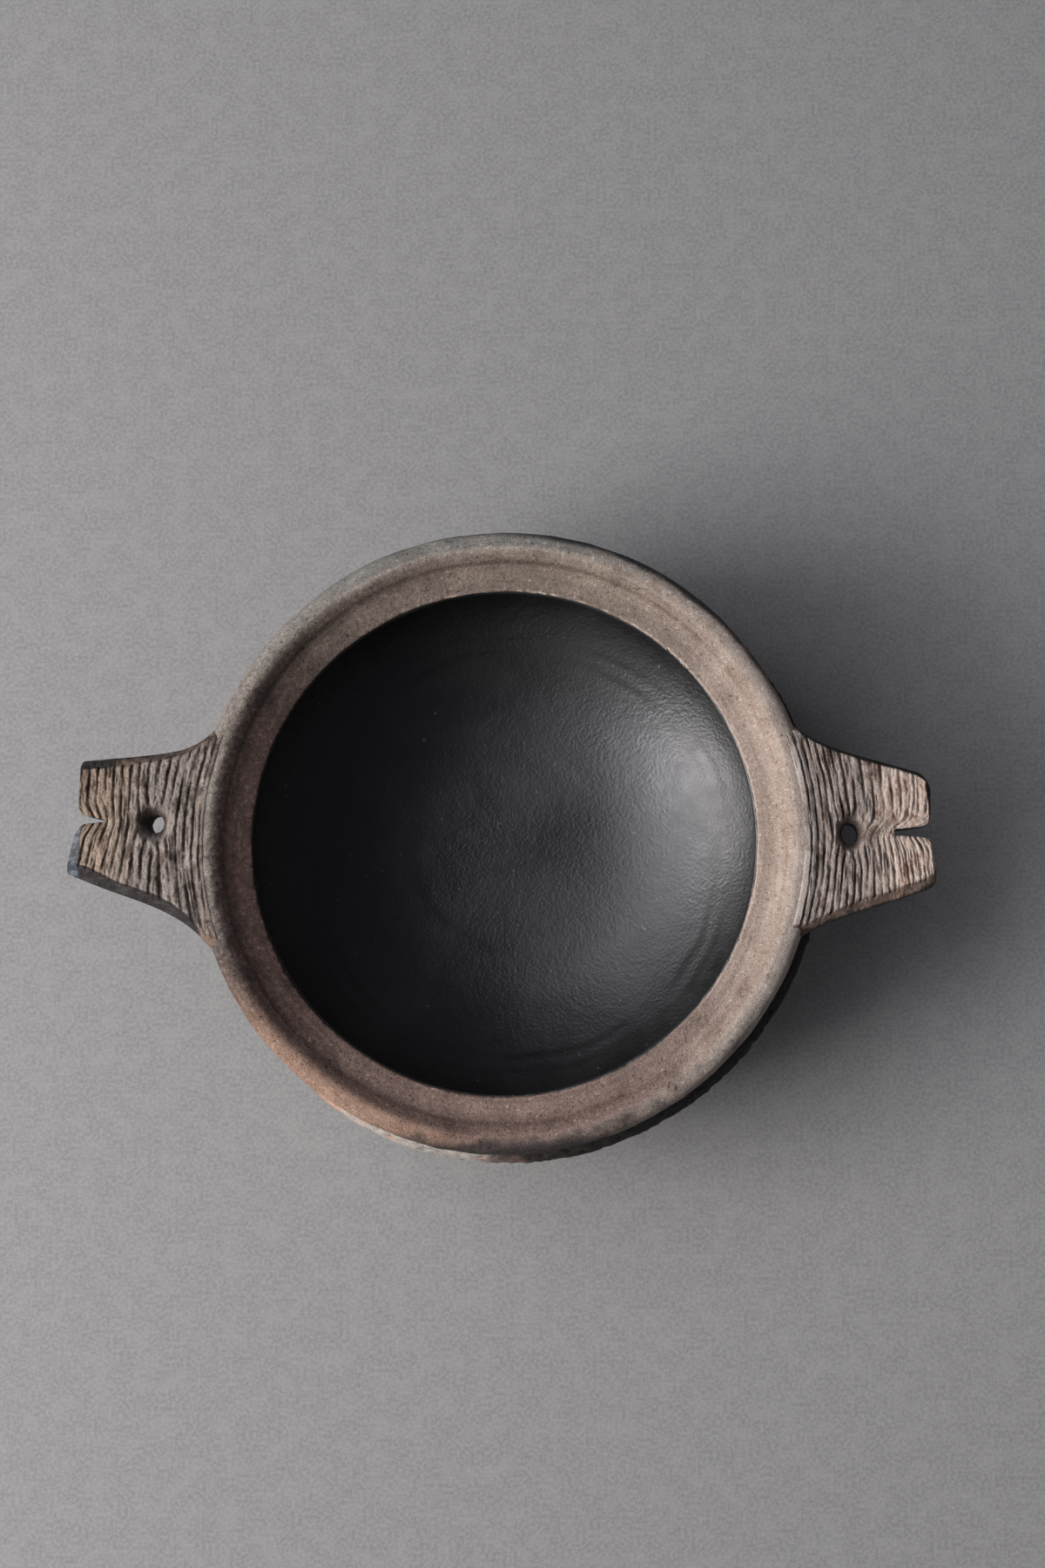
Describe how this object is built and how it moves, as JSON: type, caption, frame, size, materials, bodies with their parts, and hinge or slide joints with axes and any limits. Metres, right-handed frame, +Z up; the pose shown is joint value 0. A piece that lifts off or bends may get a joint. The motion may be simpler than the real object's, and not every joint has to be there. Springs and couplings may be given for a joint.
{
  "type": "ceramic cooking pot",
  "caption": "Round, wide-bellied ceramic cooking pot with a thick rim, a lid seat inside it, a black slip lining and opposite pierced, split, combed lug handles.",
  "frame": {"origin": "middle of the flat underside, on the surface that the pot stands on", "axes": "+Z up along the pot's axis, +X towards the right-hand lug, +Y away from the cook"},
  "size_m": [0.3357, 0.25, 0.1],
  "materials": {
    "brown_clay": "bare fired clay, matt and sandy, smoke-stained",
    "smoked_clay": "bare fired clay, rough and matt, with fire clouds",
    "black_slip": "burnished black slip, satin"
  },
  "bodies": {
    "root": {"base_dish": "smoked_clay", "belly_wall": "smoked_clay", "rim_collar": "brown_clay", "slip_lining": "black_slip", "left_lug": "brown_clay", "right_lug": "brown_clay"}
  },
  "joints": []
}
